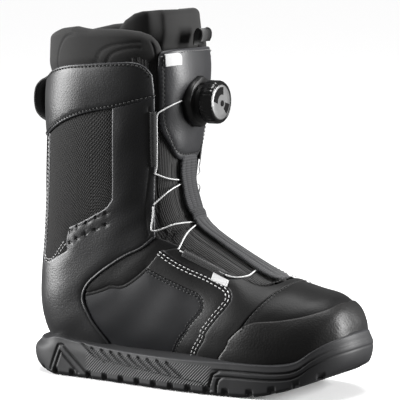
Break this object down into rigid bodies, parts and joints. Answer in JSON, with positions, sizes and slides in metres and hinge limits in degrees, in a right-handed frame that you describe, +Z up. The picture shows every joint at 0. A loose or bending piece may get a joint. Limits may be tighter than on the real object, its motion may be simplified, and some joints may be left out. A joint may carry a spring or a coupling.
{
  "type": "snowboard boot",
  "caption": "Black and charcoal right snowboard boot with a dial-and-cable lacing system, hinged tongue, padded liner and lugged rubber sole.",
  "frame": {"origin": "middle of the box at ground level, under the arch", "axes": "+Z up the shaft, +X to the toe, +Y to the inner (medial) side"},
  "size_m": [0.313, 0.117, 0.3096],
  "materials": {
    "synthetic": "matt black, fine grain",
    "grey_leather": "charcoal grey with a soft sheen",
    "textile": "brown-black diamond weave",
    "rubber": "matt, fine ribs",
    "foam": "matt",
    "liner": "matt cloth",
    "webbing": "matt ribbed",
    "plastic": "satin to gloss black",
    "metal_face": "brushed",
    "lace": "light grey coated",
    "label": "matt white"
  },
  "bodies": {
    "root": {"toe_rand": "synthetic", "toe_box": "synthetic", "cuff_band": "grey_leather", "backstay": "synthetic", "lasting_board": "foam", "vamp_lateral": "synthetic", "quarter_lateral": "synthetic", "side_panel_lateral": "synthetic", "ankle_patch_lateral": "synthetic", "heel_overlay_lateral": "grey_leather", "mesh_panel_lateral": "textile", "vamp_medial": "synthetic", "quarter_medial": "synthetic", "side_panel_medial": "synthetic", "ankle_patch_medial": "synthetic", "heel_overlay_medial": "grey_leather", "mesh_panel_medial": "textile", "toe_puff": "plastic", "heel_counter": "plastic", "padding_toe": "foam", "padding_back": "foam", "padding_foot_lateral": "foam", "padding_shaft_lateral": "foam", "padding_foot_medial": "foam", "padding_shaft_medial": "foam", "outsole": "rubber", "midsole": "foam", "tongue_lower": "textile", "tongue_spine_lower": "synthetic", "liner_body": "liner", "footbed": "foam", "lace_dial_lateral": "lace", "lace_dial_medial": "lace", "lace_cross_upper_a": "lace", "lace_cross_lower_a": "lace", "lace_cross_upper_b": "lace", "lace_cross_lower_b": "lace", "lace_vamp": "lace", "lace_guide_upper_lateral": "webbing", "lace_guide_vamp_lateral": "webbing", "lace_guide_upper_medial": "webbing", "lace_guide_vamp_medial": "webbing", "rear_loop_anchor": "webbing", "vamp_label": "label"},
    "tongue": {"tongue_upper": "textile", "tongue_panel": "grey_leather", "tongue_spine_upper": "synthetic", "dial_housing": "plastic", "tongue_label": "label"},
    "spool": {"dial_spool": "plastic"},
    "carrier": {"dial_carrier": "plastic", "dial_screw": "metal_face"},
    "knob": {"dial_knob": "plastic", "dial_cap": "metal_face"},
    "liner_tongue_body": {"liner_tongue": "liner"},
    "rear_loop": {"rear_pull_loop": "webbing"},
    "tongue_loop": {"tongue_pull_loop": "webbing"}
  },
  "joints": [
    {"name": "tongue_tilt", "type": "hinge", "parent": "root", "child": "tongue", "pos_m": [0.0089, -0.00195, 0.137], "axis": [0, 1, 0], "range_deg": [0, 25], "deforming": ["lace_dial_lateral", "lace_dial_medial", "lace_cross_upper_a", "lace_cross_lower_a", "lace_cross_upper_b", "lace_cross_lower_b"]},
    {"name": "liner_tongue_tilt", "type": "hinge", "parent": "root", "child": "liner_tongue_body", "pos_m": [0.0089, -0.00195, 0.137], "axis": [0, 1, 0], "range_deg": [0, 20]},
    {"name": "dial_release", "type": "slide", "parent": "tongue", "child": "carrier", "axis": [1, 0, 0], "range_m": [0, 0.006]},
    {"name": "dial_turn", "type": "hinge", "parent": "carrier", "child": "knob", "pos_m": [0.0189, -0.00195, 0.234], "axis": [1, 0, 0], "continuous": true},
    {"name": "spool_turn", "type": "hinge", "parent": "tongue", "child": "spool", "pos_m": [0.0099, -0.00195, 0.234], "axis": [1, 0, 0], "continuous": true},
    {"name": "rear_loop_swing", "type": "hinge", "parent": "root", "child": "rear_loop", "pos_m": [-0.1391, -0.00195, 0.231], "axis": [0, 0, 1], "range_deg": [-20, 20]},
    {"name": "tongue_loop_fold", "type": "hinge", "parent": "tongue", "child": "tongue_loop", "pos_m": [0.0039, -0.00195, 0.281], "axis": [0, 1, 0], "range_deg": [0, 60]}
  ],
  "couplings": [
    {"joint": "liner_tongue_tilt", "follows": "tongue_tilt", "ratio": 0.8},
    {"joint": "spool_turn", "follows": "dial_turn", "ratio": 1}
  ]
}
